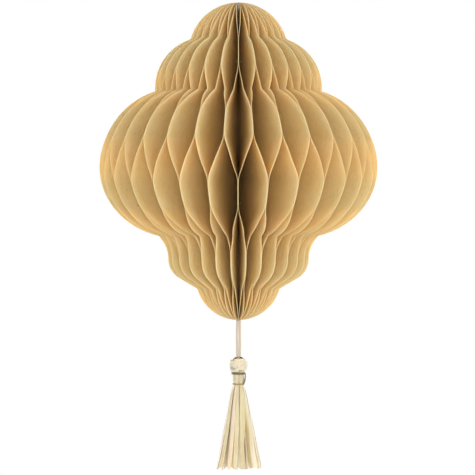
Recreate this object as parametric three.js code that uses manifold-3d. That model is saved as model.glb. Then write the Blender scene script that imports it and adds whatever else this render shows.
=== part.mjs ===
// Hanging paper honeycomb ball with a tassel. Millimetres, +Z up, origin at the hanging point.
// Depths are measured downwards from the origin. The ball is a fan of paper sheets round the Z axis:
// sheets are glued in pairs along level strips, and the fan folds flat between two card covers.
import * as THREE from 'three';
import { mergeVertices } from 'three/addons/utils/BufferGeometryUtils.js';
import Module from 'manifold-3d';

const DEG = Math.PI / 180;

// The cut edge of every sheet: stretches of elliptical arc (side -1 is a hollow one) or straight line,
// each ending at depth `to` and divided into `steps`.
const OUTLINE = [
  { to: 26.6, centreR: 0, centreDepth: 35.6, radiusR: 35.6, radiusDepth: 35.6, side: 1, steps: 3 },
  { to: 64.0, centreR: 23.3, centreDepth: 61.5, radiusR: 36.7, radiusDepth: 36.7, side: 1, steps: 3 },
  { to: 118.4, centreR: 43.2, centreDepth: 118.4, radiusR: 56.8, radiusDepth: 56.8, side: 1, steps: 4 },
  { to: 168.1, centreR: 43.2, centreDepth: 118.4, radiusR: 56.8, radiusDepth: 51.1, side: 1, steps: 4 },
  { to: 184.5, centreR: 73.9, centreDepth: 184.5, radiusR: 23.2, radiusDepth: 23.2, side: -1, steps: 1 },
  { to: 197.5, centreR: 34.7, centreDepth: 184.5, radiusR: 16.0, radiusDepth: 16.0, side: 1, steps: 2 },
  { to: 206.0, straightTo: 29.6, steps: 1 },
  { to: 228.4, centreR: 0, centreDepth: 197.6, radiusR: 30.8, radiusDepth: 30.8, side: 1, steps: 4 },
];
const LEVEL_SPACING = 3.4; // the least distance between two rows of sheet corners

// The fan
const PAIRS = 29;
const PAPER = 0.15;
const CORE_RADIUS = 7.5; // the sheets' inner edges stand round this hollow core
const RIM_MARGIN = 1.5; // the least width of a sheet, where the outline closes over the core
const PAIR_GAP = 0.1; // left between neighbouring pairs where the real ones are glued
const PITCH = (360 / PAIRS) * DEG;
const SEAM_ANGLE = 90 * DEG; // the covers meet at the back

// Glue strips, level bands that join a pair's two sheets, and half a cell further a pair to the next
const STRIP_DEPTH = 37.6;
const STRIP_PITCH = 50.6;
const STRIP_HEIGHT = 22;

// Covers and what closes them
const COVER = 0.35;
const COVER_GAP = 0.15; // from the seam's middle plane to either cover
const COVER_INNER_RADIUS = 8.5;
const COVER_MARGIN = 1; // the covers' edge stands back from the paper's
const COVER_STEPS = 8;
const COVER_CLEARANCE = 0.04; // between a cover and the first sheet's glue strips
const PAD = { thickness: 0.2, width: 14, height: 8, radii: [40, 70, 32], depths: [52, 118, 190] };

// Binding threads, through a hole in every leaf, and lashings that hold the spine cord to a cover
const BINDING_RADIUS = 10.5;
const BINDING_DROP = 5.5; // from the middle of a glue strip down to the thread
const THREAD_RADIUS = 0.3;
const HOLE = 2.4;
const TAB = { innerRadius: 1.9, height: 8, holeRadius: 2.7, hole: 1.1 };
const SPINE_CORD = { radius: 1.4, top: 9.4, bottom: 223.2 };
const HANG_EYE = { radius: 2.1, thread: 0.5 };
const TOP_KNOT = { top: 5.5, bottom: 9.1, radius: 2.2 };
const BOTTOM_KNOT = { top: 223.5, bottom: 228.0, radius: 2.4 };

// The tassel
const TASSEL_CORD = { radius: 0.8, spread: 0.95, top: 228.5, bottom: 254.3 };
const HEAD = { top: 254.6, bottom: 266.2, radius: 6.3 };
const CORE = { radius: 3.9, tipRadius: 11.2, neckBottom: 275, bottom: 333 };
const STRANDS = 10;
const STRAND = { thickness: 0.5, top: 266.8, neckRadius: 4.7, neckWidth: 2.6, tipRadius: 14.9, tipWidth: 4.2 };
const STRAND_STEPS = 6; // the first of them spans the neck
const STRAND_TIP = 335.4;
const STRAND_RAGGED = 0.9; // how far the strands' tips differ from each other in length
const TIE = { radius: 5.8, thread: 0.45, depth: 274.6 };

const wasm = await Module();
wasm.setup();

// ---- shared helpers ----

function material(color, roughness) {
  return new THREE.MeshStandardMaterial({ color, roughness, metalness: 0, side: THREE.DoubleSide });
}

function add(group, name, geometry, finish) {
  const mesh = new THREE.Mesh(geometry, finish);
  mesh.name = name;
  group.add(mesh);
  return mesh;
}

function numbered(name, number) {
  return `${name}_${String(number).padStart(2, '0')}`;
}

function remap(geometry, move) {
  const position = geometry.attributes.position;
  const point = new THREE.Vector3();
  for (let i = 0; i < position.count; i += 1) {
    point.fromBufferAttribute(position, i);
    move(point);
    position.setXYZ(i, point.x, point.y, point.z);
  }
  return geometry;
}

function toSolid(geometry) {
  const bare = new THREE.BufferGeometry();
  bare.setAttribute('position', geometry.attributes.position);
  if (geometry.index) bare.setIndex(geometry.index);
  const merged = mergeVertices(bare, 1e-4);
  const vertProperties = new Float32Array(merged.attributes.position.array);
  const triVerts = new Uint32Array(merged.index.array);
  return new wasm.Manifold(new wasm.Mesh({ numProp: 3, vertProperties, triVerts }));
}

function toGeometry(solid) {
  const mesh = solid.getMesh();
  const geometry = new THREE.BufferGeometry();
  geometry.setAttribute('position', new THREE.BufferAttribute(mesh.vertProperties, 3));
  geometry.setIndex(new THREE.BufferAttribute(mesh.triVerts, 1));
  geometry.computeVertexNormals();
  return geometry;
}

function tube(points, radius, steps, sides) {
  const section = new THREE.Shape();
  for (let i = 0; i < sides; i += 1) {
    const turn = (i / sides) * 2 * Math.PI;
    const corner = new THREE.Vector2(radius * Math.cos(turn), radius * Math.sin(turn));
    if (i === 0) section.moveTo(corner.x, corner.y);
    else section.lineTo(corner.x, corner.y);
  }
  const extrudePath = new THREE.CatmullRomCurve3(points.map((p) => new THREE.Vector3(...p)));
  return new THREE.ExtrudeGeometry(section, { extrudePath, steps, bevelEnabled: false });
}

// A round body on the Z axis from [radius, depth] points, given from the top down
function turned(profile, segments) {
  const points = profile.map(([radius, depth]) => new THREE.Vector2(radius, -depth)).reverse();
  return new THREE.LatheGeometry(points, segments).rotateX(Math.PI / 2);
}

function knot({ top, bottom, radius }) {
  const middle = (top + bottom) / 2;
  const half = (bottom - top) / 2;
  const profile = [0, 40, 75, 105, 140, 180].map((degrees) => {
    const turn = degrees * DEG;
    return [radius * Math.sin(turn), middle - half * Math.cos(turn)];
  });
  profile[0][0] = 0;
  profile[profile.length - 1][0] = 0;
  return turned(profile, 10);
}

// ---- the outline and the wave of the sheets ----

function outlineRadius(depth) {
  let from = 0;
  let fromRadius = 0;
  for (const stretch of OUTLINE) {
    if (depth <= stretch.to) return stretchRadius(stretch, depth, from, fromRadius);
    fromRadius = stretchRadius(stretch, stretch.to, from, fromRadius);
    from = stretch.to;
  }
  return 0;
}

function stretchRadius(stretch, depth, from, fromRadius) {
  if (stretch.straightTo !== undefined) {
    return THREE.MathUtils.mapLinear(depth, from, stretch.to, fromRadius, stretch.straightTo);
  }
  const height = (depth - stretch.centreDepth) / stretch.radiusDepth;
  const reach = Math.sqrt(Math.max(0, 1 - height * height));
  return stretch.centreR + stretch.side * stretch.radiusR * reach;
}

// Depths along one stretch, evenly spaced in angle on an arc
function stretchDepths(stretch, from) {
  const depths = [];
  for (let i = 1; i <= stretch.steps; i += 1) {
    const share = i / stretch.steps;
    if (stretch.straightTo !== undefined) {
      depths.push(THREE.MathUtils.lerp(from, stretch.to, share));
    } else {
      const sineOf = (depth) => (depth - stretch.centreDepth) / stretch.radiusDepth;
      const angleOf = (depth) => Math.asin(THREE.MathUtils.clamp(sineOf(depth), -1, 1));
      const angle = THREE.MathUtils.lerp(angleOf(from), angleOf(stretch.to), share);
      depths.push(stretch.centreDepth + stretch.radiusDepth * Math.sin(angle));
    }
  }
  return depths;
}

// The depth in [low, high] where the outline is `radius` wide, found by halving
function depthOfRadius(radius, narrow, wide) {
  let [low, high] = [narrow, wide];
  for (let i = 0; i < 40; i += 1) {
    const middle = (low + high) / 2;
    if (outlineRadius(middle) < radius) low = middle;
    else high = middle;
  }
  return high;
}

const SHEET_TOP = depthOfRadius(CORE_RADIUS + RIM_MARGIN, 0, OUTLINE[0].to);
const SHEET_BOTTOM = depthOfRadius(CORE_RADIUS + RIM_MARGIN, OUTLINE.at(-1).to, OUTLINE.at(-2).to);

// The ends of the glue strips within the sheet
function stripEnds() {
  const ends = [];
  for (let centre = STRIP_DEPTH; centre < SHEET_BOTTOM; centre += STRIP_PITCH) {
    ends.push(centre - STRIP_HEIGHT / 2, centre + STRIP_HEIGHT / 2);
  }
  return ends;
}

function sheetLevels() {
  const levels = [SHEET_TOP, SHEET_BOTTOM, ...stripEnds()];
  let from = 0;
  for (const stretch of OUTLINE) {
    for (const depth of stretchDepths(stretch, from)) {
      const inside = depth > SHEET_TOP && depth < SHEET_BOTTOM;
      if (inside && levels.every((level) => Math.abs(level - depth) > LEVEL_SPACING)) levels.push(depth);
    }
    from = stretch.to;
  }
  return levels.sort((a, b) => a - b);
}

// 0 where a pair's own sheets are glued together, 1 where they are glued to the next pairs
function wave(depth) {
  const period = 2 * STRIP_PITCH;
  const along = THREE.MathUtils.euclideanModulo(depth - STRIP_DEPTH, period);
  const distance = Math.min(along, period - along);
  const share = (distance - STRIP_HEIGHT / 2) / (STRIP_PITCH - STRIP_HEIGHT);
  return THREE.MathUtils.clamp(share, 0, 1);
}

function isGlued(depth) {
  return wave(depth) < 1e-6;
}

// ---- leaf pairs ----

// The clearance from a pair's side plane, where it is glued to a neighbour or to a cover
function clearance(pair, side) {
  const atCover = (pair === 1 && side < 0) || (pair === PAIRS && side > 0);
  return atCover ? COVER_GAP + COVER + COVER_CLEARANCE : PAIR_GAP / 2;
}

// A corner of one sheet at its core or its rim edge, on its outer face or on the one towards its pair
function sheetCorner(pair, side, depth, isInner, isRim) {
  const share = wave(depth);
  const glued = isInner ? 0 : side * PAPER;
  const free = -side * (clearance(pair, side) + (isInner ? PAPER : 0));
  const offset = THREE.MathUtils.lerp(glued, free, share);
  const radius = isRim ? outlineRadius(depth) : CORE_RADIUS;
  const angle = SEAM_ANGLE + (pair - 0.5 + (side * share) / 2) * PITCH;
  const corner = new THREE.Vector3(radius, offset, -depth);
  return corner.applyAxisAngle(new THREE.Vector3(0, 0, 1), angle);
}

// A pair's two waving sheets, which are one body along their glue strips. Both faces of a sheet split
// their warped quads from the upper core corner to the lower rim corner, so they stay a sheet apart.
function pairSheets(pair) {
  const levels = sheetLevels();
  const positions = [];
  const quad = (turn, a, b, c, d) => {
    const order = turn > 0 ? [a, b, c, a, c, d] : [a, c, b, a, d, c];
    for (const corner of order) positions.push(...corner.toArray());
  };
  for (const side of [-1, 1]) {
    const at = (depth, isInner, isRim) => sheetCorner(pair, side, depth, isInner, isRim);
    const face = (turn, upper, lower, isInner) => {
      quad(turn, at(upper, isInner, false), at(lower, isInner, false), at(lower, isInner, true),
        at(upper, isInner, true));
    };
    const edge = (turn, upper, lower, isRim) => {
      quad(turn, at(upper, false, isRim), at(upper, true, isRim), at(lower, true, isRim),
        at(lower, false, isRim));
    };
    const end = (turn, depth) => {
      quad(turn, at(depth, false, false), at(depth, true, false), at(depth, true, true),
        at(depth, false, true));
    };
    for (let i = 1; i < levels.length; i += 1) {
      const [upper, lower] = [levels[i - 1], levels[i]];
      face(-side, upper, lower, false);
      if (!isGlued(upper) || !isGlued(lower)) face(side, upper, lower, true);
      edge(-side, upper, lower, false);
      edge(side, upper, lower, true);
    }
    end(side, levels[0]);
    end(-side, levels.at(-1));
  }
  const geometry = new THREE.BufferGeometry();
  return geometry.setAttribute('position', new THREE.Float32BufferAttribute(positions, 3));
}

// Depths of the binding threads, low in the strips that join a pair's own sheets
const BINDING_DEPTHS = [0, 2].map((strip) => STRIP_DEPTH + strip * STRIP_PITCH + BINDING_DROP);

function leafPair(pair) {
  let solid = toSolid(pairSheets(pair));
  const angle = SEAM_ANGLE + (pair - 0.5) * PITCH;
  for (const depth of BINDING_DEPTHS) {
    const hole = new THREE.BoxGeometry(HOLE, 4 * PAPER, HOLE);
    hole.translate(BINDING_RADIUS, 0, -depth).rotateZ(angle);
    solid = solid.subtract(toSolid(hole));
  }
  return toGeometry(solid);
}

// ---- covers ----

function squareHole(radius, depth, size) {
  const half = size / 2;
  return new THREE.Path([
    new THREE.Vector2(radius - half, -depth - half),
    new THREE.Vector2(radius + half, -depth - half),
    new THREE.Vector2(radius + half, -depth + half),
    new THREE.Vector2(radius - half, -depth + half),
  ]);
}

// Depths of the spine cord's lashings: the strips where the cover has room beside the first pair
const LASHING_DEPTHS = [STRIP_DEPTH + STRIP_PITCH, STRIP_DEPTH + 3 * STRIP_PITCH];

function tabCorners(depth) {
  const half = TAB.height / 2;
  return [
    new THREE.Vector2(COVER_INNER_RADIUS, -depth - half),
    new THREE.Vector2(TAB.innerRadius, -depth - half),
    new THREE.Vector2(TAB.innerRadius, -depth + half),
    new THREE.Vector2(COVER_INNER_RADIUS, -depth + half),
  ];
}

// Card in the outline of a sheet, with its thickness along +X or -X of the seam
function cover(side, withTabs) {
  const edge = [];
  const top = depthOfRadius(COVER_INNER_RADIUS + COVER_MARGIN, 0, OUTLINE[0].to);
  const bottom = depthOfRadius(COVER_INNER_RADIUS + COVER_MARGIN, OUTLINE.at(-1).to, OUTLINE.at(-2).to);
  let from = 0;
  for (const stretch of OUTLINE) {
    edge.push(...stretchDepths({ ...stretch, steps: COVER_STEPS }, from));
    from = stretch.to;
  }
  const depths = [top, ...edge.filter((depth) => depth > top && depth < bottom), bottom];
  const rim = depths.map((depth) => new THREE.Vector2(outlineRadius(depth) - COVER_MARGIN, -depth));
  const tabs = withTabs ? [...LASHING_DEPTHS].reverse().flatMap(tabCorners) : [];
  const card = new THREE.Shape([
    ...rim,
    new THREE.Vector2(COVER_INNER_RADIUS, -bottom),
    ...tabs,
    new THREE.Vector2(COVER_INNER_RADIUS, -top),
  ]);
  for (const depth of BINDING_DEPTHS) card.holes.push(squareHole(BINDING_RADIUS, depth, HOLE));
  if (withTabs) {
    for (const depth of LASHING_DEPTHS) card.holes.push(squareHole(TAB.holeRadius, depth, TAB.hole));
  }
  const geometry = new THREE.ExtrudeGeometry(card, { depth: COVER, bevelEnabled: false });
  geometry.translate(0, 0, side > 0 ? COVER_GAP : -COVER_GAP - COVER);
  return remap(geometry, (point) => point.set(point.z, point.x, point.y));
}

function closingPad(index) {
  const pad = new THREE.BoxGeometry(PAD.thickness, PAD.width, PAD.height);
  return pad.translate(0, PAD.radii[index], -PAD.depths[index]);
}

// ---- cord and threads in the core ----

function threadRing(radius, thread, segments) {
  return new THREE.TorusGeometry(radius, thread, 6, segments);
}

function addCore(group, threadFinish, cordFinish) {
  const names = ['upper', 'lower'];
  BINDING_DEPTHS.forEach((depth, i) => {
    const ring = threadRing(BINDING_RADIUS, THREAD_RADIUS, 36).translate(0, 0, -depth);
    add(group, `binding_thread_${names[i]}`, ring, threadFinish);
  });
  LASHING_DEPTHS.forEach((depth, i) => {
    const ring = threadRing(TAB.holeRadius, THREAD_RADIUS, 14).translate(0, 0, -depth);
    add(group, `cord_lashing_${names[i]}`, ring, threadFinish);
  });
  const eye = threadRing(HANG_EYE.radius, HANG_EYE.thread, 16).rotateX(Math.PI / 2);
  add(group, 'hang_eye', eye.translate(0, 0, -HANG_EYE.radius - HANG_EYE.thread), cordFinish);
  add(group, 'top_knot', knot(TOP_KNOT), cordFinish);
  const { radius, top, bottom } = SPINE_CORD;
  const spine = turned([[0, top], [radius, top], [radius, bottom], [0, bottom]], 8);
  add(group, 'spine_cord', spine, cordFinish);
  add(group, 'bottom_knot', knot(BOTTOM_KNOT), cordFinish);
}

// ---- tassel ----

function cordRun(side) {
  const { radius, spread, top, bottom } = TASSEL_CORD;
  const middle = (top + bottom) / 2;
  const points = [
    [side * spread, 0, -top],
    [side * spread * 1.25, 0, -(top + middle) / 2],
    [side * spread * 1.5, 0, -middle],
    [side * spread * 1.3, 0, -(bottom + middle) / 2],
    [side * spread, 0, -bottom],
  ];
  return tube(points, radius, 8, 8);
}

function headWrap() {
  const { top, bottom, radius } = HEAD;
  const inner = CORE.radius + 0.4;
  const bulge = radius - inner;
  const middle = (top + bottom) / 2;
  const half = (bottom - top) / 2;
  const rim = [90, 50, 20, -20, -50, -90].map((degrees) => {
    const turn = degrees * DEG;
    return [inner + bulge * Math.cos(turn) ** 0.5, middle - half * Math.sin(turn)];
  });
  rim[0][0] = inner;
  rim[rim.length - 1][0] = inner;
  return turned([...rim, rim[0]], 20);
}

function strandCore() {
  const { radius, tipRadius, neckBottom, bottom } = CORE;
  const head = HEAD.top + 0.3;
  const profile = [[0, head], [radius * 0.7, head], [radius, head + 1.5]];
  profile.push([radius, neckBottom], [tipRadius, bottom], [0, bottom]);
  return turned(profile, 16);
}

// Middle radius of the skirt's strands at a depth
function strandRadius(depth) {
  const share = (depth - CORE.neckBottom) / (STRAND_TIP - CORE.neckBottom);
  return THREE.MathUtils.lerp(STRAND.neckRadius, STRAND.tipRadius, Math.max(0, share));
}

function skirtStrand(number) {
  const angle = ((number - 0.5) / STRANDS) * 2 * Math.PI;
  const tip = STRAND_TIP + STRAND_RAGGED * Math.sin(2.4 * number);
  const strip = new THREE.BoxGeometry(1, 1, 1, 1, STRAND_STEPS, 1);
  const neckShare = 1 / STRAND_STEPS;
  return remap(strip, (point) => {
    const share = 0.5 - point.y;
    const depth = share <= neckShare
      ? THREE.MathUtils.mapLinear(share, 0, neckShare, STRAND.top, CORE.neckBottom)
      : THREE.MathUtils.mapLinear(share, neckShare, 1, CORE.neckBottom, tip);
    const width = THREE.MathUtils.lerp(STRAND.neckWidth, STRAND.tipWidth, share);
    const radius = strandRadius(depth) + point.z * STRAND.thickness;
    const across = point.x * width;
    point.x = radius * Math.cos(angle) - across * Math.sin(angle);
    point.y = radius * Math.sin(angle) + across * Math.cos(angle);
    point.z = -depth;
  });
}

// Loose end of the tie, which curls up beside the neck
function tieTail() {
  const start = TIE.radius + 1.1;
  const points = [
    [start, -0.6, -TIE.depth - 0.4],
    [start + 0.7, -1.2, -TIE.depth + 2],
    [start + 0.6, -2.0, -TIE.depth + 4.6],
    [start - 0.5, -3.2, -TIE.depth + 6.6],
  ];
  return tube(points, TIE.thread, 6, 6);
}

function addTassel(group, cordFinish, raffiaFinish, tieFinish) {
  add(group, 'tassel_cord_left', cordRun(-1), cordFinish);
  add(group, 'tassel_cord_right', cordRun(1), cordFinish);
  add(group, 'strand_core', strandCore(), raffiaFinish);
  add(group, 'head_wrap', headWrap(), raffiaFinish);
  for (let number = 1; number <= STRANDS; number += 1) {
    add(group, numbered('skirt_strand', number), skirtStrand(number), raffiaFinish);
  }
  const tie = threadRing(TIE.radius, TIE.thread, 20).translate(0, 0, -TIE.depth);
  add(group, 'tie_thread', tie, tieFinish);
  add(group, 'tie_tail', tieTail(), tieFinish);
}

// ---- the whole object ----

const ball = new THREE.Group();
const paper = material(0xd8b470, 0.85);
const card = material(0xb8935a, 0.9);
const adhesive = material(0xe8e2d0, 0.7);
const thread = material(0xe0d2b4, 0.9);
const cord = material(0xefe2c8, 0.9);
const raffia = material(0xf6e4be, 0.7);
const tie = material(0xa08a60, 0.8);

for (let pair = 1; pair <= PAIRS; pair += 1) {
  add(ball, numbered('leaf_pair', pair), leafPair(pair), paper);
}
add(ball, 'cover_a', cover(-1, true), card);
add(ball, 'cover_b', cover(1, false), card);
PAD.depths.forEach((_, i) => add(ball, numbered('closing_pad', i + 1), closingPad(i), adhesive));
addCore(ball, thread, cord);
addTassel(ball, cord, raffia, tie);

export default ball;
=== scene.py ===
"""Hanging paper honeycomb ball with a raffia tassel: the looks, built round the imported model.

Metres, +Z up, origin at the hanging point. Depths are measured downwards from the origin.
"""
import math
import random

import bpy
import numpy as np
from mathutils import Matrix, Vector


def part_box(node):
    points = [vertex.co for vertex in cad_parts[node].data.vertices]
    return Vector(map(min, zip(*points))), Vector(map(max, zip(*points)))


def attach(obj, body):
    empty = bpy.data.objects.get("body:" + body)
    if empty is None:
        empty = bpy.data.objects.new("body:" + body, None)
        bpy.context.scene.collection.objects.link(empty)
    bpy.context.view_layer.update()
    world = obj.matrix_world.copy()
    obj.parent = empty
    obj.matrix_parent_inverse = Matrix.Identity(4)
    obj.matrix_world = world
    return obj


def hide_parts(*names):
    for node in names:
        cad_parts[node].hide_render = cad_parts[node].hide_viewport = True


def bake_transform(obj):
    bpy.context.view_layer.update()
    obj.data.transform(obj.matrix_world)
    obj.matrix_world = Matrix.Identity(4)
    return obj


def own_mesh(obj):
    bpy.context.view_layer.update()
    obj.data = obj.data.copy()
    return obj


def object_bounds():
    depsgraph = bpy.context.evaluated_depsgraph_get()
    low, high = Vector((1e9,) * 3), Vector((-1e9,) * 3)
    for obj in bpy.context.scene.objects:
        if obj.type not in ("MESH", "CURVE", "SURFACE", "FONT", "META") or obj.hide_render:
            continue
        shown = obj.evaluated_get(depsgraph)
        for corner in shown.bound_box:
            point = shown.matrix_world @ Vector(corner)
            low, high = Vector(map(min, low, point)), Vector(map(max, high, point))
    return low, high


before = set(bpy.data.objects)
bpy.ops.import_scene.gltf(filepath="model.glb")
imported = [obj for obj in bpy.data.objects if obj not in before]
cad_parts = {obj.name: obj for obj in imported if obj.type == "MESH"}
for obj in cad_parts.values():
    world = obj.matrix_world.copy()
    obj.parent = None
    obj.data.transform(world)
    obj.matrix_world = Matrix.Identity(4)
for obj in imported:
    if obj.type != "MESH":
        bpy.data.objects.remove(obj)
cad_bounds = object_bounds()

MM = 0.001

# ---- the design, as the CAD has it ----

# Stretches of the sheets' cut edge: (to depth, centre radius, centre depth, radius across, radius down,
# side), in millimetres; side 0 is a straight line to the radius given in the second place.
OUTLINE = [
    (26.6, 0.0, 35.6, 35.6, 35.6, 1),
    (64.0, 23.3, 61.5, 36.7, 36.7, 1),
    (118.4, 43.2, 118.4, 56.8, 56.8, 1),
    (168.1, 43.2, 118.4, 56.8, 51.1, 1),
    (184.5, 73.9, 184.5, 23.2, 23.2, -1),
    (197.5, 34.7, 184.5, 16.0, 16.0, 1),
    (206.0, 29.6, 0.0, 0.0, 0.0, 0),
    (228.4, 0.0, 197.6, 30.8, 30.8, 1),
]
PAIRS = 29
HALF_PITCH = math.pi / PAIRS
SEAM_ANGLE = math.pi / 2
STRIP_DEPTH = 37.6 * MM
STRIP_PITCH = 50.6 * MM
STRIP_HEIGHT = 22.0 * MM
COVER_FACE = 0.5 * MM  # from the seam's middle plane to the side of a cover that faces the sheets
COVER_BACK = 0.15 * MM  # and to the side that faces the other cover
COVER_MARGIN = 1.0 * MM  # the covers' edge stands back from the paper's
COVER_INNER = 6.0 * MM  # radius of the covers' edge along the spine
TAB_INNER = 1.9 * MM  # at the lashings a tab of the fixed cover reaches in to the spine cord
TAB_HEIGHT = 8.0 * MM

# ---- how fine the visible paper is ----

PAPER = 0.24 * MM  # thicker than real paper, so that the cut edges show
FULL_PAPER_RADIUS = 4.0 * MM  # inside it the sheets thin down, so that all of them fit round the spine
CORE_RADIUS = 1.9 * MM  # how far in the visible sheets reach
OPAQUE_RADIUS = 9.0 * MM  # inside it the paper lets no light through
GLUE_GAP = 0.04 * MM
ROWS = 150  # down a sheet
COLUMNS = 16  # from the core to the cut edge
KINK_ROUNDING = 7.0 * MM  # length over which the paper bends where a glue strip ends
ANGLE_PLAY = math.radians(0.32)  # how far a glued joint stands from its even place

random.seed(29)
rng = np.random.default_rng(29)


# ---- node helpers ----


def new_material(name):
    material = bpy.data.materials.new(name)
    material.use_nodes = True
    tree = material.node_tree
    shader = tree.nodes["Principled BSDF"]
    return material, tree, shader


def node(tree, kind, inputs=None, **settings):
    made = tree.nodes.new(kind)
    for key, value in settings.items():
        setattr(made, key, value)
    for key, value in (inputs or {}).items():
        if isinstance(value, bpy.types.NodeSocket):
            tree.links.new(value, made.inputs[key])
        else:
            made.inputs[key].default_value = value
    return made


def noise(tree, coordinates, scale, detail=3.0, roughness=0.55):
    inputs = {"Vector": coordinates, "Scale": scale, "Detail": detail, "Roughness": roughness}
    return node(tree, "ShaderNodeTexNoise", inputs).outputs["Fac"]


def stretched(tree, coordinates, scale, shift=None):
    made = node(tree, "ShaderNodeMapping", {"Vector": coordinates, "Scale": scale})
    if shift is not None:
        tree.links.new(shift, made.inputs["Location"])
    return made.outputs["Vector"]


def map_range(tree, value, low, high, to_low=0.0, to_high=1.0):
    inputs = {"Value": value, "From Min": low, "From Max": high, "To Min": to_low, "To Max": to_high}
    return node(tree, "ShaderNodeMapRange", inputs).outputs["Result"]


def mix_colour(tree, share, first, second):
    made = node(tree, "ShaderNodeMix", {0: share, 6: first, 7: second}, data_type="RGBA")
    return made.outputs[2]


def maths(tree, operation, first, second=0.0):
    return node(tree, "ShaderNodeMath", {0: first, 1: second}, operation=operation).outputs["Value"]


def bump(tree, shader, height, distance, strength=1.0):
    made = node(tree, "ShaderNodeBump", {"Height": height, "Distance": distance, "Strength": strength})
    tree.links.new(made.outputs["Normal"], shader.inputs["Normal"])


def linear(red, green, blue):
    """An 8-bit display colour as the linear colour that a shader takes."""
    def channel(value):
        value /= 255
        return value / 12.92 if value <= 0.04045 else ((value + 0.055) / 1.055) ** 2.4

    return (channel(red), channel(green), channel(blue), 1.0)


# ---- materials ----


def paper_material(name, light, dark, edge):
    """Kraft paper: long fibres down the sheet, soft clouds, a few dark flecks and a painted highlight along
    the cut edge.
    """
    material, tree, shader = new_material(name)
    place = node(tree, "ShaderNodeUVMap", uv_map="sheet").outputs["UV"]
    chance = node(tree, "ShaderNodeObjectInfo").outputs["Random"]
    depth = maths(tree, "MULTIPLY", chance, 37.0)
    shift = node(tree, "ShaderNodeCombineXYZ", {"Z": depth}).outputs["Vector"]
    cloth = stretched(tree, place, (1.0, 1.0, 1.0), shift)
    fibres = noise(tree, stretched(tree, place, (1.0, 0.16, 1.0), shift), 1500.0, 4.0, 0.65)
    clouds = noise(tree, cloth, 38.0, 3.0)
    grain = noise(tree, cloth, 2600.0, 2.0)
    flecks = noise(tree, stretched(tree, place, (1.0, 0.4, 1.0), shift), 900.0, 1.0)
    tone = maths(tree, "ADD", maths(tree, "MULTIPLY", fibres, 0.55), maths(tree, "MULTIPLY", clouds, 0.45))
    colour = mix_colour(tree, map_range(tree, tone, 0.36, 0.64), dark, light)
    fleck = map_range(tree, flecks, 0.70, 0.78, 0.0, 0.35)
    colour = mix_colour(tree, fleck, colour, (0.25, 0.15, 0.07, 1.0))
    # Paler towards the cut edge: a painted highlight where light catches the sheets' rims
    from_edge = node(tree, "ShaderNodeSeparateXYZ", {"Vector": place}).outputs["X"]
    rim_highlight_share = map_range(tree, from_edge, 0.2 * MM, 4.0 * MM, 0.5, 0.0)
    colour = mix_colour(tree, rim_highlight_share, colour, edge)
    tree.links.new(colour, shader.inputs["Base Color"])
    tree.links.new(map_range(tree, clouds, 0.3, 0.7, 0.74, 0.9), shader.inputs["Roughness"])
    shader.inputs["Specular IOR Level"].default_value = 0.25
    # Thin paper: light that falls on one face glows through on the other, but not deep in the core
    across = stretched(tree, node(tree, "ShaderNodeTexCoord").outputs["Object"], (1.0, 1.0, 0.0))
    radius = node(tree, "ShaderNodeVectorMath", {0: across}, operation="LENGTH").outputs["Value"]
    glow = map_range(tree, radius, OPAQUE_RADIUS, 2 * OPAQUE_RADIUS)
    tree.links.new(glow, shader.inputs["Subsurface Weight"])
    shader.inputs["Subsurface Radius"].default_value = (1.0, 0.85, 0.62)
    shader.inputs["Subsurface Scale"].default_value = 0.5 * MM
    relief = maths(tree, "ADD", fibres, maths(tree, "MULTIPLY", grain, 0.5))
    bump(tree, shader, relief, 0.06 * MM, 0.7)
    return material


def card_material():
    """Grey-brown board of the covers, with coarse pressed fibres."""
    material, tree, shader = new_material("pressed_card")
    place = node(tree, "ShaderNodeTexCoord").outputs["Object"]
    fibres = noise(tree, stretched(tree, place, (1.0, 1.0, 0.3)), 900.0, 5.0, 0.7)
    clouds = noise(tree, place, 60.0)
    tone = maths(tree, "ADD", maths(tree, "MULTIPLY", fibres, 0.6), maths(tree, "MULTIPLY", clouds, 0.4))
    share = map_range(tree, tone, 0.35, 0.65)
    colour = mix_colour(tree, share, linear(168, 136, 92), linear(198, 166, 118))
    tree.links.new(colour, shader.inputs["Base Color"])
    tree.links.new(map_range(tree, fibres, 0.3, 0.7, 0.8, 0.95), shader.inputs["Roughness"])
    bump(tree, shader, fibres, 0.1 * MM)
    return material


def pad_material():
    """White foam of the sticky pads."""
    material, tree, shader = new_material("pad_foam")
    place = node(tree, "ShaderNodeTexCoord").outputs["Object"]
    cells = node(tree, "ShaderNodeTexVoronoi", {"Vector": place, "Scale": 1800.0}).outputs["Distance"]
    share = map_range(tree, cells, 0.1, 0.7)
    colour = mix_colour(tree, share, linear(225, 220, 205), linear(245, 242, 232))
    tree.links.new(colour, shader.inputs["Base Color"])
    tree.links.new(map_range(tree, cells, 0.0, 0.8, 0.5, 0.8), shader.inputs["Roughness"])
    bump(tree, shader, cells, 0.1 * MM)
    return material


def thread_material(name, light, dark, twists):
    """Twisted thread or cord: slanting plies along its length, with painted shade in the bands between
    them, and loose fibres.
    """
    material, tree, shader = new_material(name)
    place = node(tree, "ShaderNodeTexCoord").outputs["Object"]
    plies = node(
        tree,
        "ShaderNodeTexWave",
        {
            "Vector": stretched(tree, place, (1.0, 0.7, 0.8)),
            "Scale": twists,
            "Distortion": 1.5,
            "Detail": 2.0,
        },
        wave_type="BANDS",
        bands_direction="DIAGONAL",
    ).outputs["Fac"]
    fuzz = noise(tree, place, 3500.0, 3.0)
    # The darker wave bands between the plies are painted shade in the grooves
    tone = maths(tree, "ADD", maths(tree, "MULTIPLY", plies, 0.65), maths(tree, "MULTIPLY", fuzz, 0.35))
    colour = mix_colour(tree, map_range(tree, tone, 0.15, 0.8), dark, light)
    tree.links.new(colour, shader.inputs["Base Color"])
    tree.links.new(map_range(tree, fuzz, 0.3, 0.7, 0.75, 0.95), shader.inputs["Roughness"])
    shader.inputs["Sheen Weight"].default_value = 0.25
    bump(tree, shader, tone, 0.12 * MM)
    return material


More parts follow.
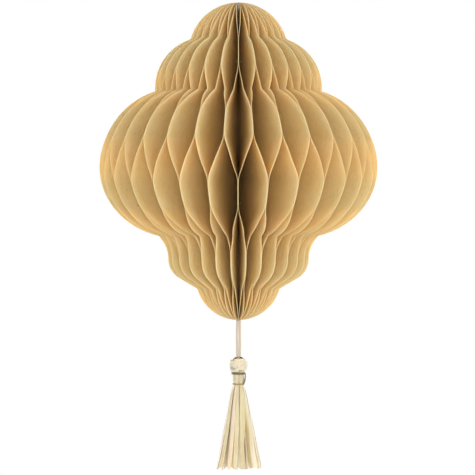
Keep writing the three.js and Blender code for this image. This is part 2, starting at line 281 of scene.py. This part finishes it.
def cord_material(name, light, dark):
    """Soft twisted cord: pale plies with painted shade in the hollows between them, with fine loose fibres.
    """
    material, tree, shader = new_material(name)
    place = node(tree, "ShaderNodeUVMap", uv_map="strip").outputs["UV"]
    fibres = noise(tree, stretched(tree, place, (1.0, 0.25, 1.0)), 6500.0, 3.0)
    clouds = noise(tree, place, 500.0, 2.0)
    # Pointiness darkens the hollows between the plies: painted shade
    valley_shade = node(tree, "ShaderNodeNewGeometry").outputs["Pointiness"]
    tone = maths(tree, "ADD", map_range(tree, valley_shade, 0.44, 0.54), maths(tree, "MULTIPLY", fibres, 0.5))
    tone = maths(tree, "ADD", tone, maths(tree, "MULTIPLY", clouds, 0.3))
    colour = mix_colour(tree, map_range(tree, tone, 0.2, 1.3), dark, light)
    tree.links.new(colour, shader.inputs["Base Color"])
    tree.links.new(map_range(tree, fibres, 0.3, 0.7, 0.75, 0.92), shader.inputs["Roughness"])
    shader.inputs["Sheen Weight"].default_value = 0.3
    bump(tree, shader, fibres, 0.08 * MM)
    return material


def raffia_material(name, light, dark, streak_and_shade):
    """Dried palm strip: fine streaks along its length, and a soft satin surface. The darkest streaks are
    partly the strip's own veins and partly painted shade.
    """
    material, tree, shader = new_material(name)
    place = node(tree, "ShaderNodeUVMap", uv_map="strip").outputs["UV"]
    chance = node(tree, "ShaderNodeObjectInfo").outputs["Random"]
    depth = maths(tree, "MULTIPLY", chance, 23.0)
    shift = node(tree, "ShaderNodeCombineXYZ", {"Z": depth}).outputs["Vector"]
    streaks = noise(tree, stretched(tree, place, (1.0, 0.03, 1.0), shift), 2600.0, 4.0, 0.6)
    bands = noise(tree, stretched(tree, place, (0.5, 0.12, 1.0), shift), 420.0, 2.0)
    tone = maths(tree, "ADD", maths(tree, "MULTIPLY", streaks, 0.5), maths(tree, "MULTIPLY", bands, 0.5))
    colour = mix_colour(tree, map_range(tree, tone, 0.34, 0.62), dark, light)
    # The darkest streaks are partly the strip's own veins and partly painted shade between strips
    colour = mix_colour(tree, map_range(tree, streaks, 0.66, 0.76, 0.0, 0.5), colour, streak_and_shade)
    tree.links.new(colour, shader.inputs["Base Color"])
    tree.links.new(map_range(tree, streaks, 0.3, 0.7, 0.42, 0.66), shader.inputs["Roughness"])
    shader.inputs["Sheen Weight"].default_value = 0.15
    shader.inputs["Subsurface Weight"].default_value = 0.7
    shader.inputs["Subsurface Radius"].default_value = (1.0, 0.9, 0.75)
    shader.inputs["Subsurface Scale"].default_value = 0.6 * MM
    bump(tree, shader, streaks, 0.08 * MM)
    return material


def floor_material():
    material, tree, shader = new_material("floor_paint")
    place = node(tree, "ShaderNodeTexCoord").outputs["Object"]
    clouds = noise(tree, place, 1.6, 2.0)
    colour = mix_colour(tree, clouds, linear(240, 239, 236), linear(247, 246, 243))
    tree.links.new(colour, shader.inputs["Base Color"])
    shader.inputs["Roughness"].default_value = 0.9
    return material


# ---- mesh helpers ----


def link(name, mesh):
    made = bpy.data.objects.new(name, mesh)
    bpy.context.scene.collection.objects.link(made)
    return made


def thin_sheet(name, front, back, uv, uv_name, finish):
    """A closed thin body between two grids of points, (rows, columns, 3), with one UV per grid point."""
    rows, columns = front.shape[:2]
    count = rows * columns
    grid = np.arange(count).reshape(rows, columns)
    a, b = grid[:-1, :-1].ravel(), grid[:-1, 1:].ravel()
    c, d = grid[1:, 1:].ravel(), grid[1:, :-1].ravel()
    faces = [np.stack([a, b, c, d], 1), np.stack([d, c, b, a], 1) + count]
    border = np.concatenate([grid[0, :-1], grid[:-1, -1], grid[-1, :0:-1], grid[:0:-1, 0]])
    after = np.roll(border, -1)
    faces.append(np.stack([after, border, border + count, after + count], 1))
    faces = np.concatenate(faces)
    mesh = bpy.data.meshes.new(name)
    points = np.concatenate([front.reshape(-1, 3), back.reshape(-1, 3)])
    mesh.from_pydata(points.tolist(), [], faces.tolist())
    layer = mesh.uv_layers.new(name=uv_name)
    both = np.tile(uv.reshape(-1, 2), (2, 1))
    layer.data.foreach_set("uv", both[faces.ravel()].astype(np.float32).ravel())
    mesh.polygons.foreach_set("use_smooth", np.ones(len(faces), bool))
    mesh.set_sharp_from_angle(angle=math.radians(40))
    mesh.materials.append(finish)
    mesh.update()
    return link(name, mesh)


# ---- the honeycomb ----


def outline_radius(depth):
    """Radius of the sheets' cut edge at a depth, in metres."""
    low, low_radius = 0.0, 0.0
    depth_mm = depth / MM
    for to, centre_r, centre_d, across, down, side in OUTLINE:
        def at(d, centre_r=centre_r, centre_d=centre_d, across=across, down=down, side=side, to=to,
               low=low, low_radius=low_radius):
            if side == 0:
                return low_radius + (centre_r - low_radius) * (d - low) / (to - low)
            return centre_r + side * across * math.sqrt(max(0.0, 1 - ((d - centre_d) / down) ** 2))

        if depth_mm <= to:
            return at(depth_mm) * MM
        low_radius = at(to)
        low = to
    return 0.0


def wave(depth):
    """0 where a pair's own sheets are glued, 1 where they are glued to the next pairs, kinks rounded."""
    around = depth + np.linspace(-0.5, 0.5, 9) * KINK_ROUNDING
    along = (around - STRIP_DEPTH) % (2 * STRIP_PITCH)
    distance = np.minimum(along, 2 * STRIP_PITCH - along)
    share = (distance - STRIP_HEIGHT / 2) / (STRIP_PITCH - STRIP_HEIGHT)
    return float(np.clip(share, 0, 1).mean())


def sheet_rows():
    """Depths of the rows of a sheet's points, evenly spaced along the cut edge, and its radius there."""
    depths = np.linspace(0.02 * MM, (OUTLINE[-1][0] - 0.02) * MM, 4000)
    radii = np.array([outline_radius(d) for d in depths])
    wide = radii > CORE_RADIUS + 0.4 * MM
    depths, radii = depths[wide], radii[wide]
    along = np.concatenate([[0], np.cumsum(np.hypot(np.diff(depths), np.diff(radii)))])
    at = np.linspace(0, along[-1], ROWS)
    return np.interp(at, along, depths), np.interp(at, along, radii)


ROW_DEPTHS, ROW_RADII = sheet_rows()
ROW_WAVES = np.array([wave(d) for d in ROW_DEPTHS])
STRIP_COUNT = 6  # rows of joints that play is drawn for, more than the sheet has
OWN_PLAY = rng.uniform(-1, 1, (PAIRS + 1, STRIP_COUNT)) * ANGLE_PLAY
NEXT_PLAY = rng.uniform(-1, 1, (PAIRS + 1, STRIP_COUNT)) * ANGLE_PLAY
NEXT_PLAY[[0, PAIRS]] = 0  # the covers are flat


def play(table, index, depth, first):
    """Play of one joint at a depth, eased between its strips, which lie two pitches apart from `first`."""
    step = (depth - first) / (2 * STRIP_PITCH) + 1
    low = int(math.floor(step))
    share = step - low
    share = share * share * (3 - 2 * share)
    return table[index, low] * (1 - share) + table[index, low + 1] * share


def sheet_angle_and_offset(pair, side, row):
    """Direction of a sheet at a row, and how far its middle stands off that direction."""
    depth, share = ROW_DEPTHS[row], ROW_WAVES[row]
    own = SEAM_ANGLE + (2 * pair - 1) * HALF_PITCH
    joint = pair if side > 0 else pair - 1
    own_angle = own + play(OWN_PLAY, pair, depth, STRIP_DEPTH)
    next_angle = own + side * HALF_PITCH + play(NEXT_PLAY, joint, depth, STRIP_DEPTH - STRIP_PITCH)
    clear = COVER_FACE + GLUE_GAP if joint in (0, PAIRS) else GLUE_GAP / 2
    own_offset = side * (PAPER / 2 + GLUE_GAP / 2)
    next_offset = -side * (clear + PAPER / 2)
    return own_angle + (next_angle - own_angle) * share, own_offset + (next_offset - own_offset) * share


def build_sheet(pair, side, finish):
    number = 2 * pair - (1 if side < 0 else 0)
    reach = 1 - (1 - np.linspace(0, 1, COLUMNS)) ** 1.6
    slope = np.gradient(ROW_RADII, ROW_DEPTHS)
    front = np.empty((ROWS, COLUMNS, 3))
    back = np.empty((ROWS, COLUMNS, 3))
    uv = np.empty((ROWS, COLUMNS, 2))
    bow = rng.uniform(-1, 1, 4)
    for row in range(ROWS):
        depth, rim = ROW_DEPTHS[row], ROW_RADII[row]
        angle, offset = sheet_angle_and_offset(pair, side, row)
        radius = CORE_RADIUS + (rim - CORE_RADIUS) * reach
        free = 4 * ROW_WAVES[row] * (1 - ROW_WAVES[row])
        ripple = bow[0] * math.sin(depth * 160 + 6 * bow[1]) + bow[2] * math.sin(depth * 90 + 6 * bow[3])
        lean = angle + free * 0.004 * ripple * reach
        out = np.stack([np.cos(lean), np.sin(lean)], 1)
        across = np.stack([-np.sin(lean), np.cos(lean)], 1)
        fitted = np.minimum(1, radius / FULL_PAPER_RADIUS)[:, None]
        for grid, half in ((front, PAPER / 2), (back, -PAPER / 2)):
            grid[row, :, :2] = radius[:, None] * out + fitted * (offset + half) * across
            grid[row, :, 2] = -depth
        uv[row, :, 0] = (rim - radius) / math.hypot(1, slope[row])
        uv[row, :, 1] = depth
    return thin_sheet(f"paper_sheet_{number:02d}", front, back, uv, "sheet", finish)


def build_honeycomb():
    # edge is the colour of the painted highlight along the sheets' cut edge
    light, dark, edge = linear(236, 206, 150), linear(221, 190, 130), linear(247, 220, 169)
    finish = paper_material("kraft_paper", light, dark, edge)
    for pair in range(1, PAIRS + 1):
        body = f"leaf_pair_{pair:02d}"
        for side in (-1, 1):
            piece = build_sheet(pair, side, finish)
            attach(piece, body)
            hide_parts(body)
            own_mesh(piece)


# ---- covers, and materials of the CAD nodes that stay ----


def build_covers():
    finish = card_material()
    wide = ROW_RADII > COVER_INNER + 1.4 * COVER_MARGIN
    depths, rims = ROW_DEPTHS[wide], ROW_RADII[wide] - COVER_MARGIN
    for name, side in (("a", -1), ("b", 1)):
        inner = np.full(len(depths), COVER_INNER)
        if side < 0:
            for depth in (STRIP_DEPTH + STRIP_PITCH, STRIP_DEPTH + 3 * STRIP_PITCH):
                inner[np.abs(depths - depth) < TAB_HEIGHT / 2] = TAB_INNER
        share = np.linspace(0, 1, COLUMNS)[None, :]
        radius = inner[:, None] + (rims - inner)[:, None] * share
        down = np.repeat(depths[:, None], COLUMNS, 1)
        faces = sorted((side * COVER_FACE, side * COVER_BACK))
        front, back = (np.stack([np.full_like(radius, x), radius, -down], 2) for x in faces)
        piece = thin_sheet(f"cover_card_{name}", front, back, np.stack([radius, down], 2), "card", finish)
        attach(piece, "root" if side < 0 else "cover_b")
        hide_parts(f"cover_{name}")


def paint(nodes, finish):
    for name in nodes:
        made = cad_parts[name]
        made.data.materials.clear()
        made.data.materials.append(finish)


def build_bindings():
    """The limp threads through every leaf."""
    finish = cord_material("linen_thread", linear(214, 200, 168), linear(178, 160, 122))
    for name in ("upper", "lower"):
        low, high = (np.array(corner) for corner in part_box(f"binding_thread_{name}"))
        thread = (high[2] - low[2]) / 2
        reach = (high[0] - low[0]) / 2 - thread
        middle = (low + high) / 2
        turns = np.linspace(0, 2 * math.pi, 240, endpoint=False)
        centres = middle + reach * np.stack([np.cos(turns), np.sin(turns), 0 * turns], 1)
        piece = ring_tube(f"binding_{name}", centres, thread, 2, 4200, 10, "strip", finish, closed=True)
        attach(piece, "root")
        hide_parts(f"binding_thread_{name}")
        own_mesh(piece)


def paint_core():
    paint([f"closing_pad_{i:02d}" for i in (1, 2, 3)], pad_material())
    thread = thread_material("lashing_thread", linear(232, 220, 192), linear(196, 178, 140), 900.0)
    paint(["cord_lashing_upper", "cord_lashing_lower"], thread)


# ---- cord, knots and eye ----


def ring_tube(name, centres, radius, lobes, twist, sides, uv_name, finish, closed=False):
    """A twisted cord of `lobes` plies along a line of ring centres, a loop or with shut ends."""
    count = len(centres)
    centres = np.asarray(centres, float)
    if closed:
        tangents = np.roll(centres, -1, 0) - np.roll(centres, 1, 0)
    else:
        tangents = np.gradient(centres, axis=0)
    tangents /= np.linalg.norm(tangents, axis=1)[:, None]
    steps = np.linalg.norm(np.diff(centres, axis=0), axis=1)
    along = np.concatenate([[0], np.cumsum(steps)])
    normal = np.cross(tangents[0], (0.13, 0.97, 0.21))
    rings, uvs = [], []
    for i in range(count):
        normal = normal - tangents[i] * normal.dot(tangents[i])
        normal /= np.linalg.norm(normal)
        side = np.cross(tangents[i], normal)
        turn = np.arange(sides) / sides * 2 * math.pi
        ply = 0.80 + 0.20 * np.abs(np.cos(lobes / 2 * (turn - twist * along[i])))
        reach = radius * ply
        spoke = np.cos(turn)[:, None] * normal + np.sin(turn)[:, None] * side
        rings.append(centres[i] + reach[:, None] * spoke)
        uvs.append(np.stack([turn * radius, np.full(sides, along[i])], 1))
    points = np.concatenate(rings).tolist()
    grid = np.arange(count * sides).reshape(count, sides)
    last = count if closed else count - 1
    faces = []
    for i in range(last):
        here, there = grid[i], grid[(i + 1) % count]
        for j in range(sides):
            k = (j + 1) % sides
            faces.append([here[j], here[k], there[k], there[j]])
    if not closed:
        faces += [grid[0][::-1].tolist(), grid[-1].tolist()]
    mesh = bpy.data.meshes.new(name)
    mesh.from_pydata(points, [], [[int(v) for v in face] for face in faces])
    layer = mesh.uv_layers.new(name=uv_name)
    flat_uv = np.concatenate(uvs)
    order = np.concatenate([np.asarray(face) for face in faces])
    layer.data.foreach_set("uv", flat_uv[order].astype(np.float32).ravel())
    mesh.polygons.foreach_set("use_smooth", np.ones(len(faces), bool))
    mesh.set_sharp_from_angle(angle=math.radians(55))
    mesh.materials.append(finish)
    mesh.update()
    return link(name, mesh)


def smooth_line(points, count):
    """Points along a smooth curve through the given ones (Catmull-Rom)."""
    points = np.asarray(points, float)
    ends = np.concatenate([[2 * points[0] - points[1]], points, [2 * points[-1] - points[-2]]])
    at = np.linspace(0, len(points) - 1, count)
    low = np.minimum(at.astype(int), len(points) - 2)
    t = (at - low)[:, None]
    a, b, c, d = ends[low], ends[low + 1], ends[low + 2], ends[low + 3]
    return 0.5 * (2 * b + (c - a) * t + (2 * a - 5 * b + 4 * c - d) * t**2 + (3 * b - a - 3 * c + d) * t**3)


def overhand(name, node_name, radius, thread, finish):
    """A tight knot where the CAD has a round one: a cord that goes twice round and three times through."""
    low, high = (np.array(corner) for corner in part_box(node_name))
    middle = (low + high) / 2
    half_height = (high[2] - low[2]) / 2 - thread
    turns = np.linspace(0, 2 * math.pi, 120, endpoint=False)
    reach = radius * (0.62 + 0.38 * np.cos(3 * turns))
    centres = np.stack(
        [reach * np.cos(2 * turns), reach * np.sin(2 * turns), half_height * np.sin(3 * turns)], 1
    )
    piece = ring_tube(name, centres + middle, thread, 3, 2200, 14, "strip", finish, closed=True)
    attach(piece, "root")
    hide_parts(node_name)


CORD_RADIUS = 0.9 * MM
CORD_RINGS = 110
# Middle line of one of the two runs of the tassel's cord, as (distance from the axis, depth)
CORD_ROUTE = [
    (0.85, 224.0),
    (0.88, 228.4),
    (0.94, 234.0),
    (1.0, 239.5),
    (1.0, 244.0),
    (0.94, 249.0),
    (0.9, 254.4),
]
CORD_WANDER = 0.12 * MM  # fore and aft


def build_cords(finish):
    for name, side in (("left", -1), ("right", 1)):
        route = [
            (side * across * MM, side * CORD_WANDER * math.sin(depth), -depth * MM)
            for across, depth in CORD_ROUTE
        ]
        centres = smooth_line(route, CORD_RINGS)
        piece = ring_tube(f"cord_run_{name}", centres, CORD_RADIUS, 3, side * 1500, 16, "strip", finish)
        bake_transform(piece)
        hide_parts(f"tassel_cord_{name}")


def build_hanging_eye(finish):
    low, high = (np.array(corner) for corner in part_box("hang_eye"))
    middle = (low + high) / 2
    thread = (high[1] - low[1]) / 2
    across, tall = (high[0] - low[0]) / 2 - thread, (high[2] - low[2]) / 2 - thread
    turns = np.linspace(0, 2 * math.pi, 90, endpoint=False)
    centres = middle + np.stack([across * np.sin(turns), 0 * turns, tall * np.cos(turns)], 1)
    piece = ring_tube("hanging_loop", centres, thread, 3, 2400, 14, "strip", finish, closed=True)
    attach(piece, "root")
    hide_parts("hang_eye")


def build_spine(finish):
    low, high = (np.array(corner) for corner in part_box("spine_cord"))
    radius = (high[0] - low[0]) / 2
    centres = [(0, 0, z) for z in np.linspace(high[2], low[2], 420)]
    piece = ring_tube("twisted_spine_cord", centres, radius, 3, 900, 14, "strip", finish)
    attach(piece, "root")
    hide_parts("spine_cord")


def build_cord_and_knots():
    finish = cord_material("soft_cord", linear(200, 184, 162), linear(170, 150, 122))
    build_cords(finish)
    build_hanging_eye(finish)
    build_spine(finish)
    overhand("upper_knot", "top_knot", 1.55 * MM, 0.62 * MM, finish)
    overhand("lower_knot", "bottom_knot", 1.70 * MM, 0.66 * MM, finish)


# ---- tassel ----

# Layers of the skirt: strands, radius at the neck, radius at the tips, width at the tips, all but the
# first in millimetres. The outermost comes first.
LAYERS = [(16, 4.0, 16.3, 4.2), (12, 3.2, 11.2, 3.8), (8, 2.1, 6.8, 3.6), (4, 1.0, 2.8, 3.4)]
FLARE = 0.15  # share of the skirt's spread that comes near the tips
HEAD_TOP = 254.4 * MM
HEAD_CROWN = 3.4 * MM  # height of the folds' arch over their straight legs
NECK_TOP = 266.0 * MM
TUCKED_UNDER = 3.4 * MM  # how far the skirt's strips go up under the head
OUTER_NECK = 4.0 * MM  # neck radius of the outermost layer
TIE_DEPTH = 274.4 * MM
SKIRT_TOP = 275.6 * MM
SKIRT_TIP = 335.2 * MM
STRAND_THICKNESS = 0.16 * MM
STRAND_ROWS = 46
STRAND_COLUMNS = 6
RAGGED = 1.6 * MM


def smoothstep(share):
    share = np.clip(share, 0, 1)
    return share * share * (3 - 2 * share)


def ribbon(name, centres, facings, widths, curl, thickness, finish):
    """A flat strip along a line. Its outer face looks along the facings; curl bows it across its width."""
    centres = np.asarray(centres, float)
    facings = np.asarray(facings, float)
    tangents = np.gradient(centres, axis=0)
    tangents /= np.linalg.norm(tangents, axis=1)[:, None]
    facings = facings - tangents * (facings * tangents).sum(1)[:, None]
    facings /= np.linalg.norm(facings, axis=1)[:, None]
    across = np.cross(tangents, facings)
    columns = np.linspace(-0.5, 0.5, STRAND_COLUMNS)
    along = np.concatenate([[0], np.cumsum(np.linalg.norm(np.diff(centres, axis=0), axis=1))])
    widths = np.asarray(widths, float)
    lift = np.asarray(curl, float)[:, None] * (1 - 4 * columns**2)[None, :]
    middle = (
        centres[:, None, :]
        + (widths[:, None] * columns)[:, :, None] * across[:, None, :]
        + lift[:, :, None] * facings[:, None, :]
    )
    front = middle + facings[:, None, :] * thickness / 2
    back = middle - facings[:, None, :] * thickness / 2
    uv = np.stack([widths[:, None] * columns, np.repeat(along[:, None], STRAND_COLUMNS, 1)], 2)
    return thin_sheet(name, front, back, uv, "strip", finish)


def ride_tassel(piece, slot, *nodes):
    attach(piece, "tassel")
    if nodes:
        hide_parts(*nodes)


def skirt_strand(number, angle, layer, finish):
    count, neck, tip_radius, tip_width = layer
    neck, tip_radius, tip_width = neck * MM, tip_radius * MM, tip_width * MM
    tip = SKIRT_TIP + random.uniform(-1, 0.6) * RAGGED
    depths = np.linspace(NECK_TOP - TUCKED_UNDER, tip, STRAND_ROWS)
    share = np.clip((depths - SKIRT_TOP) / (tip - SKIRT_TOP), 0, 1)
    tight = np.exp(-(((depths - TIE_DEPTH) / (2.6 * MM)) ** 2))
    spread = tip_radius * random.uniform(0.9, 1.06)
    opening = (1 - FLARE) * share**0.75 + FLARE * share**4
    radius = neck + (spread - neck) * opening - 0.45 * MM * tight * neck / OUTER_NECK
    radius += random.uniform(-0.5, 0.5) * MM * np.sin(share * math.pi)
    sway = random.uniform(-1, 1) * 0.10 * smoothstep(share)
    sway = sway + random.uniform(-1, 1) * 0.06 * np.sin(share * random.uniform(3, 7)) * share
    turn = angle + sway
    centres = np.stack([radius * np.cos(turn), radius * np.sin(turn), -depths], 1)
    twist = random.uniform(-1, 1) * 0.75 * smoothstep(share * 1.3)
    if random.random() < 0.22:
        twist = twist * 2.1
    facings = np.stack([np.cos(turn + twist), np.sin(turn + twist), 0.12 + 0 * turn], 1)
    full = tip_width * random.uniform(0.62, 1.08)
    narrow = min(1.9 * MM, 2 * math.pi * neck / count * 0.98)
    widths = narrow + (full - narrow) * smoothstep(share * 1.9)
    widths = widths * (1 - 0.25 * smoothstep((share - 0.93) / 0.07) * random.random())
    curl = random.uniform(0.10, 0.38) * MM * (0.4 + 0.6 * share) * random.choice((1, 1, -1))
    return ribbon(f"raffia_strand_{number:02d}", centres, facings, widths, curl, STRAND_THICKNESS, finish)


def build_skirt(finishes):
    number = 0
    for layer in LAYERS:
        count = layer[0]
        start = random.uniform(0, 2 * math.pi)
        for i in range(count):
            number += 1
            angle = start + (i + random.uniform(-0.18, 0.18)) / count * 2 * math.pi
            piece = skirt_strand(number, angle, layer, random.choice(finishes))
            nodes = [f"skirt_strand_{number:02d}"] if number <= 10 else []
            if number == 11:
                nodes = ["strand_core"]
            ride_tassel(piece, "raffia", *nodes)


def build_head(finishes):
    """Strands doubled over at the top, for the wide strip of build_head_band to wind round."""
    loops = 7
    for i in range(loops):
        lean = math.pi * (i + 0.5) / loops
        reach = (4.3 - 0.28 * i) * MM
        crown = HEAD_TOP + (0.35 + 0.22 * i) * MM
        turns = np.linspace(-0.5, 0.5, 30) * math.pi
        arch = [(reach * math.sin(t), crown + HEAD_CROWN * (1 - math.cos(t))) for t in turns]
        legs = np.linspace(crown + HEAD_CROWN, NECK_TOP - 1.0 * MM, 12)[1:]
        line = [(-reach, d) for d in legs[::-1]] + arch + [(reach, d) for d in legs]
        line = np.array(line)
        direction = np.array([math.cos(lean), math.sin(lean), 0])
        centres = line[:, :1] * direction - line[:, 1:] * np.array([0, 0, 1])
        centre = np.array([0, 0, -(crown + HEAD_CROWN)])
        facings = centres - centre
        facings[:, 2] = np.maximum(facings[:, 2], 0)
        widths = np.full(len(line), 2.3 * MM)
        curl = np.full(len(line), 0.15 * MM)
        name = f"head_fold_{i + 1:02d}"
        # The folds that take the dark olive raffia paint shade into the head's hollow top
        piece = ribbon(name, centres, facings, widths, curl, STRAND_THICKNESS, finishes[i % len(finishes)])
        ride_tassel(piece, "raffia")


def build_head_band(finish):
    turns, pitch, width = 3.1, 2.0 * MM, 4.6 * MM
    first = HEAD_TOP + 3.5 * MM
    rows, columns = 190, np.linspace(-0.5, 0.5, 11)
    at = np.linspace(0, turns, rows)
    angle = -2.2 + at * 2 * math.pi
    depth = first + at * pitch
    middle = first + turns * pitch / 2
    front = np.empty((rows, len(columns), 3))
    back = np.empty((rows, len(columns), 3))
    uv = np.empty((rows, len(columns), 2))
    for i in range(rows):
        tucked = 1 - smoothstep(min(at[i], turns - at[i]) / 0.25)
        for j, v in enumerate(columns):
            down = depth[i] + v * width * (1 - 0.3 * tucked)
            belly = math.sqrt(max(0.0, 1 - ((down - middle) / (5.6 * MM)) ** 2))
            shingle = (0.5 - v) * width / pitch * 0.20 * MM * smoothstep(at[i])
            wobble = 0.05 * MM * math.sin(5 * angle[i] + 9 * v)
            radius = 4.55 * MM + 1.4 * MM * belly + shingle + wobble - 0.4 * MM * tucked
            for grid, half in ((front, 0.12 * MM), (back, -0.12 * MM)):
                reach = radius + half
                grid[i, j] = (reach * math.cos(angle[i]), reach * math.sin(angle[i]), -down)
            uv[i, j] = (v * width, angle[i] * 5.5 * MM)
    piece = thin_sheet("wound_head_band", back, front, uv, "strip", finish)
    ride_tassel(piece, "raffia", "head_wrap")


def build_tie(tie_finish, tail_shade_finish):
    turns = 2.15
    at = np.linspace(0, turns, 140)
    angle = 0.2 + at * 2 * math.pi
    radius = 4.1 * MM + 0.12 * MM * np.sin(3 * at)
    depth = TIE_DEPTH - 0.5 * MM + at * 0.5 * MM
    centres = np.stack([radius * np.cos(angle), radius * np.sin(angle), -depth], 1)
    piece = ring_tube("neck_tie", centres, 0.27 * MM, 2, 1800, 10, "strip", tie_finish)
    ride_tassel(piece, "tie_strand", "tie_thread")
    # The same strand goes once round under the head and comes down at the front right to the tie. It takes
    # the dark olive raffia: painted shade under the head band.
    round_head = [(4.5 + 0.05 * i, -20 - 30 * (12 - i), 266.5 + 0.03 * i) for i in range(13)]
    down = [(5.2, -18, 268.2), (5.15, -20, 270.2), (4.9, -26, 272.4), (4.4, -36, 274.3)]
    route = [(r * MM, math.radians(turn), d * MM) for r, turn, d in round_head + down]
    line = smooth_line([(r * math.cos(turn), r * math.sin(turn), -d) for r, turn, d in route], 150)
    facings = line * (1, 1, 0)
    widths = np.interp(np.linspace(0, 1, 150), (0, 0.1, 0.8, 0.9, 1), (0.7, 1.4, 1.5, 2.2, 1.2)) * MM
    tail = ribbon("tie_long_end", line, facings, widths, np.full(150, 0.2 * MM), 0.2 * MM, tail_shade_finish)
    ride_tassel(tail, "tie_strand", "tie_tail")


def build_tassel():
    pale = raffia_material(
        "raffia_pale", linear(231, 218, 195), linear(217, 200, 170), linear(178, 159, 120)
    )
    warm = raffia_material(
        "raffia_warm", linear(229, 210, 188), linear(211, 189, 158), linear(178, 154, 118)
    )
    straw = raffia_material(
        "raffia_straw", linear(220, 207, 169), linear(203, 186, 142), linear(162, 146, 104)
    )
    # Dark olive raffia: painted shade, on some of the head's folds in its hollow top and on the tie's long
    # end under the head band
    shade_raffia = raffia_material("raffia_painted_shade", linear(122, 106, 70), linear(90, 77, 46), linear(66, 55, 32))
    tan = raffia_material("raffia_tan", linear(186, 158, 112), linear(150, 122, 78), linear(114, 90, 54))
    build_skirt([pale, pale, pale, warm, warm, straw])
    build_head([tan, shade_raffia, straw])
    build_head_band(pale)
    build_tie(tan, shade_raffia)


# ---- floor, light and camera ----


def build_camera():
    low, high = np.array(cad_bounds[0]), np.array(cad_bounds[1])
    data = bpy.data.cameras.new("camera")
    made = bpy.data.objects.new("camera", data)
    bpy.context.scene.collection.objects.link(made)
    distance = 2.6
    seen_width = 1.0164 * (high[2] - low[2])
    data.sensor_width = 36.0
    data.lens = data.sensor_width * distance / seen_width
    data.clip_end = 50
    middle_height = high[2] - 0.5027 * (high[2] - low[2])
    made.location = (-0.7 * MM, -distance, middle_height)
    made.rotation_euler = (math.pi / 2, 0, 0)
    bpy.context.scene.camera = made


def area_light(name, place, target, size, power, colour=(1, 1, 1)):
    data = bpy.data.lights.new(name, "AREA")
    data.shape = "DISK"
    data.size = size
    data.energy = power
    data.color = colour
    made = bpy.data.objects.new(name, data)
    bpy.context.scene.collection.objects.link(made)
    made.location = place
    made.rotation_euler = (Vector(target) - Vector(place)).to_track_quat("-Z", "Y").to_euler()
    made.visible_camera = False


AMBIENT = 0.42
SOFTBOX_SIZE = 0.9
SOFTBOXES = {
    "left": ((-1.5, -0.9, 0.1), 6.9),
    "left_front": ((-0.9, -1.6, 0.1), 5.0),
    "front": ((0.0, -1.9, -0.1), 8.0),
    "right_front": ((0.9, -1.6, 0.1), 6.8),
    "right": ((1.5, -0.9, 0.1), 10.2),
    "top": ((0.0, -0.8, 1.5), 0.8),
    "back_left": ((-1.2, 1.5, 0.1), 15.5),
    "back_right": ((1.2, 1.5, 0.1), 15.5),
}


def build_studio():
    world = bpy.data.worlds.new("studio")
    bpy.context.scene.world = world
    world.use_nodes = True
    background = world.node_tree.nodes["Background"]
    background.inputs["Color"].default_value = (1, 1, 1, 1)
    seen = node(world.node_tree, "ShaderNodeLightPath").outputs["Is Camera Ray"]
    strength = map_range(world.node_tree, seen, 0.0, 1.0, AMBIENT, 1.0)
    world.node_tree.links.new(strength, background.inputs["Strength"])
    middle = (0, 0, -0.115)
    for name, (place, power) in SOFTBOXES.items():
        area_light(name, place, middle, SOFTBOX_SIZE, power)
    bpy.ops.mesh.primitive_circle_add(vertices=96, radius=1.05, fill_type="NGON")
    floor = bpy.context.object
    floor.name = "floor"
    floor.location = (0, 0, cad_bounds[0][2] - 0.12)
    floor.data.materials.append(floor_material())
    view = bpy.context.scene.view_settings
    view.view_transform = "Standard"
    view.look = "None"


build_camera()
build_cord_and_knots()
build_honeycomb()
build_covers()
build_bindings()
paint_core()
build_tassel()
build_studio()
